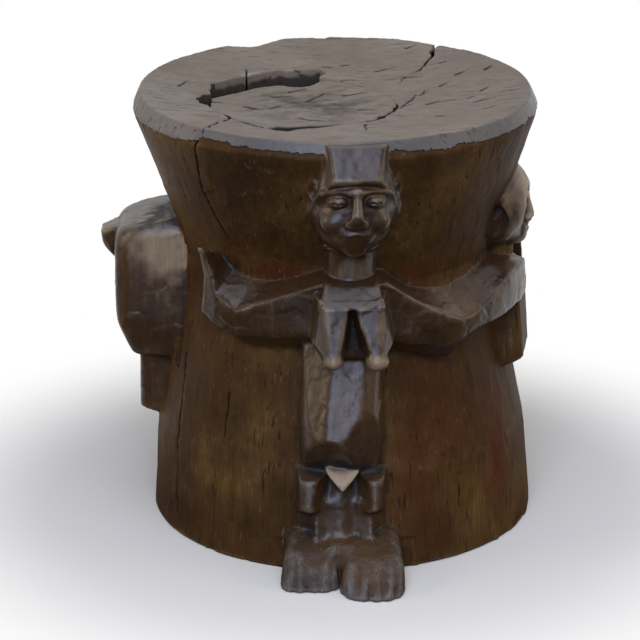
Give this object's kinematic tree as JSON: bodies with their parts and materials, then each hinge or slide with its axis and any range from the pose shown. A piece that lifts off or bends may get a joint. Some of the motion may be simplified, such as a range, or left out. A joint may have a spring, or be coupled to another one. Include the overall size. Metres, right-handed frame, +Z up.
{
  "type": "pedestal stool",
  "caption": "Low round seat carved from a log, with an hourglass stem, a dished and checked top, standing figures at front and back, and heads at its sides.",
  "frame": {"origin": "middle of the round base, on the floor", "axes": "+Z up along the stem, -Y towards the front figure, +X towards the bust, to a viewer's right from the front"},
  "size_m": [0.4223, 0.522, 0.424],
  "materials": {
    "oiled_wood": "dark hardwood, oiled and polished by handling",
    "stained_wood": "dark hardwood with a reddish patina, satin",
    "rubbed_wood": "hardwood rubbed through its patina on high spots",
    "dry_wood": "weathered end grain, dry and checked"
  },
  "bodies": {
    "root": {"lower_stem": "stained_wood", "upper_stem": "stained_wood", "seat": "dry_wood", "heartwood": "dry_wood", "front_head": "oiled_wood", "front_neck": "oiled_wood", "front_chest": "oiled_wood", "front_breast_left": "rubbed_wood", "front_breast_right": "rubbed_wood", "front_arm_left": "oiled_wood", "front_arm_right": "oiled_wood", "front_belly": "oiled_wood", "front_groin": "rubbed_wood", "front_leg_left": "oiled_wood", "front_leg_right": "oiled_wood", "front_foot_left": "oiled_wood", "front_foot_right": "oiled_wood", "back_head": "oiled_wood", "back_neck": "oiled_wood", "back_chest": "oiled_wood", "back_breast_left": "rubbed_wood", "back_breast_right": "rubbed_wood", "back_arm_left": "oiled_wood", "back_arm_right": "oiled_wood", "back_belly": "oiled_wood", "back_groin": "rubbed_wood", "back_leg_left": "oiled_wood", "back_leg_right": "oiled_wood", "back_foot_left": "oiled_wood", "back_foot_right": "oiled_wood", "mask_head": "oiled_wood", "mask_lobe": "rubbed_wood", "mask_throat": "oiled_wood", "bust_head": "oiled_wood", "bust_neck": "oiled_wood", "bust_body": "oiled_wood"}
  },
  "joints": []
}
